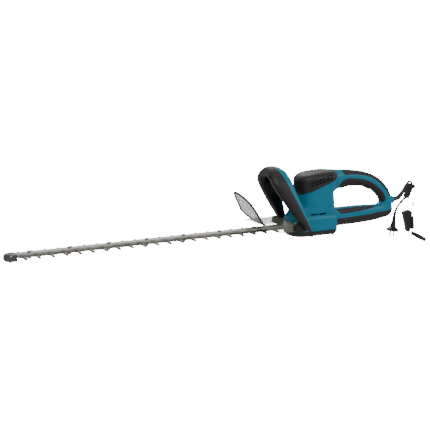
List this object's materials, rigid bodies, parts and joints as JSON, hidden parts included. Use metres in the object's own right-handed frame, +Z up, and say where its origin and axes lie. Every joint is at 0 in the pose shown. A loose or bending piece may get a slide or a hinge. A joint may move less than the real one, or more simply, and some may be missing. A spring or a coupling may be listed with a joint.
{
  "type": "hedge trimmer",
  "caption": "Electric hedge trimmer with a long double-sided reciprocating blade, clear hand guard, loop front handle, D-shaped rear handle and a short corded tail with lead hook.",
  "frame": {"origin": "the middle of the rear handle's upper grip, where the hand that works the trigger holds the tool", "axes": "-X points along the blade towards its tip, +X back past the rear handle, +Y to the right of the person holding it, +Z up"},
  "size_m": [1.2639, 0.1862, 0.2633],
  "materials": {
    "teal_shell": "satin",
    "charcoal_plastic": "satin",
    "grip_rubber": "matte",
    "black_plastic": "satin",
    "smoked_clear": "gloss",
    "bar_steel": "satin",
    "blade_steel": "satin",
    "cap_chrome": "polished",
    "fastener_steel": "satin",
    "cast_alloy": "cast",
    "gear_steel": "machined",
    "lamination_steel": "laminated",
    "copper_winding": "varnished",
    "fan_plastic": "satin",
    "carbon": "matte",
    "bronze_bush": "sintered",
    "pin_brass": "nickel plated",
    "cord_rubber": "matte",
    "string_nylon": "satin"
  },
  "bodies": {
    "root": {"armature_bearings": "gear_steel", "bearing_bracket": "fan_plastic", "bearing_plate": "cast_alloy", "blade_bolts": "fastener_steel", "blade_nuts": "fastener_steel", "brush_holders": "bronze_bush", "brush_springs": "fastener_steel", "carbon_brushes": "carbon", "cord_clamp": "black_plastic", "cord_clip": "black_plastic", "crank_bushes": "bronze_bush", "extension_hook": "black_plastic", "field_coils": "copper_winding", "front_handle_feet": "black_plastic", "front_handle_front_shell": "charcoal_plastic", "front_handle_rear_shell": "teal_shell", "front_switch": "black_plastic", "gear_case": "cast_alloy", "guide_bar": "bar_steel", "hand_guard": "smoked_clear", "handle_screws": "fastener_steel", "hook_toggle": "black_plastic", "housing_left": "teal_shell", "housing_right": "teal_shell", "housing_screws": "fastener_steel", "lower_grip_pads": "grip_rubber", "motor_cover": "charcoal_plastic", "plug_body": "black_plastic", "plug_pins": "pin_brass", "post_screws": "fastener_steel", "rear_grip_lower": "charcoal_plastic", "rear_grip_top": "grip_rubber", "rear_switch": "black_plastic", "side_grip_inserts": "grip_rubber", "stator_core": "lamination_steel", "strain_relief": "cord_rubber", "string_loop_lower": "string_nylon", "string_loop_upper": "string_nylon", "supply_cord": "cord_rubber", "suppressor": "black_plastic", "tip_cap": "cap_chrome", "tip_screw": "fastener_steel", "trigger_pin": "fastener_steel", "trigger_spring": "fastener_steel", "under_cover": "charcoal_plastic"},
    "armature": {"armature_shaft": "gear_steel", "armature_core": "lamination_steel", "armature_windings": "copper_winding", "commutator": "copper_winding", "cooling_fan": "fan_plastic"},
    "drive_gear": {"drive_gear": "gear_steel"},
    "crank": {"crank": "gear_steel", "clutch_plate": "gear_steel", "clutch_spring": "gear_steel"},
    "upper_blade": {"upper_blade": "blade_steel", "upper_blade_teeth": "blade_steel"},
    "lower_blade": {"lower_blade": "blade_steel", "lower_blade_teeth": "blade_steel"},
    "rear_trigger": {"rear_trigger": "black_plastic"},
    "front_lever": {"front_lever": "black_plastic"}
  },
  "joints": [
    {"name": "gear_spin", "type": "hinge", "parent": "root", "child": "drive_gear", "pos_m": [-0.1815, 0, -0.097], "axis": [0, 0, 1], "continuous": true},
    {"name": "armature_spin", "type": "hinge", "parent": "root", "child": "armature", "pos_m": [-0.15, 0, -0.04], "axis": [0, 0, 1], "continuous": true},
    {"name": "crank_turn", "type": "hinge", "parent": "root", "child": "crank", "pos_m": [-0.1815, 0, -0.11], "axis": [0, 0, 1], "range_deg": [-90, 90]},
    {"name": "upper_blade_stroke", "type": "slide", "parent": "root", "child": "upper_blade", "axis": [1, 0, 0], "range_m": [-0.008, 0.008]},
    {"name": "lower_blade_stroke", "type": "slide", "parent": "root", "child": "lower_blade", "axis": [1, 0, 0], "range_m": [-0.008, 0.008]},
    {"name": "trigger_press", "type": "hinge", "parent": "root", "child": "rear_trigger", "pos_m": [-0.062, 0, -0.004], "axis": [0, -1, 0], "range_deg": [0, 5], "stiffness_Nm_per_rad": 2, "springref_deg": -8.59},
    {"name": "lever_press", "type": "slide", "parent": "root", "child": "front_lever", "axis": [-0.5452, 0, 0.8383], "range_m": [0, 0.004], "stiffness_N_per_m": 800, "springref_m": -0.003}
  ],
  "couplings": [
    {"joint": "armature_spin", "follows": "gear_spin", "ratio": -6},
    {"joint": "lower_blade_stroke", "follows": "upper_blade_stroke", "ratio": -1},
    {"joint": "crank_turn", "follows": "upper_blade_stroke", "rad_per_m": -196.3}
  ]
}
